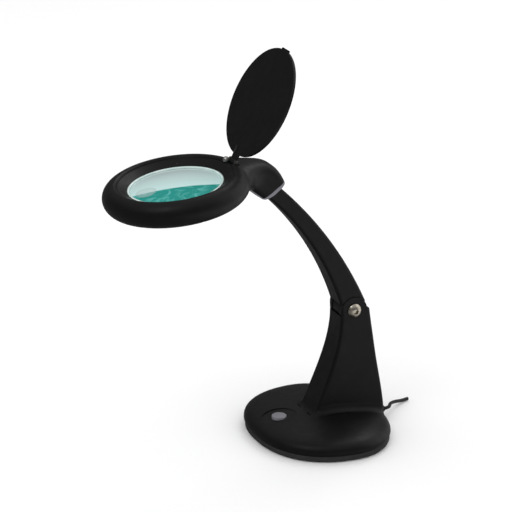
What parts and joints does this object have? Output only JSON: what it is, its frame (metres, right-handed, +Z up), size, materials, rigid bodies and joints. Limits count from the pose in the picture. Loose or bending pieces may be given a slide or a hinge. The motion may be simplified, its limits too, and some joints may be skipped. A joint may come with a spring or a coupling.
{
  "type": "magnifying lamp",
  "caption": "Table magnifying lamp: a ring-shaped lit head with a round lens and hinged lid on a curved pivoting arm, a column and a weighted base.",
  "frame": {"origin": "on the table under the feet, on the plane of symmetry, where the base is widest", "axes": "+Z up, -Y towards the user, where the head reaches out, +X to the user's right, the side of the pivot bolt's head"},
  "size_m": [0.1648, 0.3315, 0.3924],
  "materials": {
    "black_housing": "semi-matte moulded black plastic",
    "dark_plate": "matte dark grey moulded plastic",
    "grey_trim": "matte mid-grey moulded plastic",
    "cast_ballast": "rough cast iron",
    "rubber": "matte black rubber",
    "zinc_screw": "zinc-plated steel",
    "bright_bolt": "bright nickel-plated steel",
    "circuit_board": "green solder resist with dark components",
    "nylon": "natural nylon",
    "optical_glass": "clear polished glass with a green tint",
    "led": "white light-emitting diode packages",
    "diffuser": "frosted translucent plastic",
    "cable_sheath": "black cable sheath"
  },
  "bodies": {
    "base": {"base_cover": "black_housing", "base_plate": "dark_plate", "ballast_weight": "cast_ballast", "rubber_feet": "rubber", "base_cover_screws": "zinc_screw", "column_foot_screws": "zinc_screw", "driver_board": "circuit_board", "cord_relief": "rubber", "power_cord": "cable_sheath", "switch_body": "nylon", "column_left": "black_housing", "column_right": "black_housing", "column_screws": "zinc_screw", "column_cable": "cable_sheath", "pivot_bolt": "bright_bolt", "pivot_nut": "bright_bolt", "pivot_washers": "nylon"},
    "button": {"switch_button": "grey_trim"},
    "arm": {"arm_housing": "black_housing", "arm_cover": "black_housing", "arm_lower_knuckle": "black_housing", "arm_upper_knuckle": "black_housing", "arm_cable": "cable_sheath"},
    "head": {"head_upper_housing": "black_housing", "head_lower_housing": "black_housing", "head_screws": "zinc_screw", "magnifier_lens": "optical_glass", "bifocal_lens": "optical_glass", "lens_retaining_ring": "black_housing", "led_board": "circuit_board", "leds": "led", "diffuser_ring": "diffuser", "neck_cover": "grey_trim", "tilt_axle": "zinc_screw", "tilt_washers": "nylon", "lid_hinge_bracket": "black_housing", "lid_hinge_pin": "zinc_screw", "lid_hinge_screw": "bright_bolt"},
    "lid": {"lens_lid": "black_housing"}
  },
  "joints": [
    {"name": "switch_press", "type": "slide", "parent": "base", "child": "button", "axis": [0, 0, -1], "range_m": [0, 0.0016], "stiffness_N_per_m": 400, "springref_m": -0.001},
    {"name": "arm_pivot", "type": "hinge", "parent": "base", "child": "arm", "pos_m": [0, 0.0252, 0.1261], "axis": [1, 0, 0], "range_deg": [-18, 30]},
    {"name": "head_tilt", "type": "hinge", "parent": "arm", "child": "head", "pos_m": [0, -0.06666, 0.26689], "axis": [1, 0, 0], "range_deg": [-14, 10]},
    {"name": "lid_hinge", "type": "hinge", "parent": "head", "child": "lid", "pos_m": [0, -0.09541, 0.28993], "axis": [-1, 0, 0], "range_deg": [-125, 8]}
  ]
}
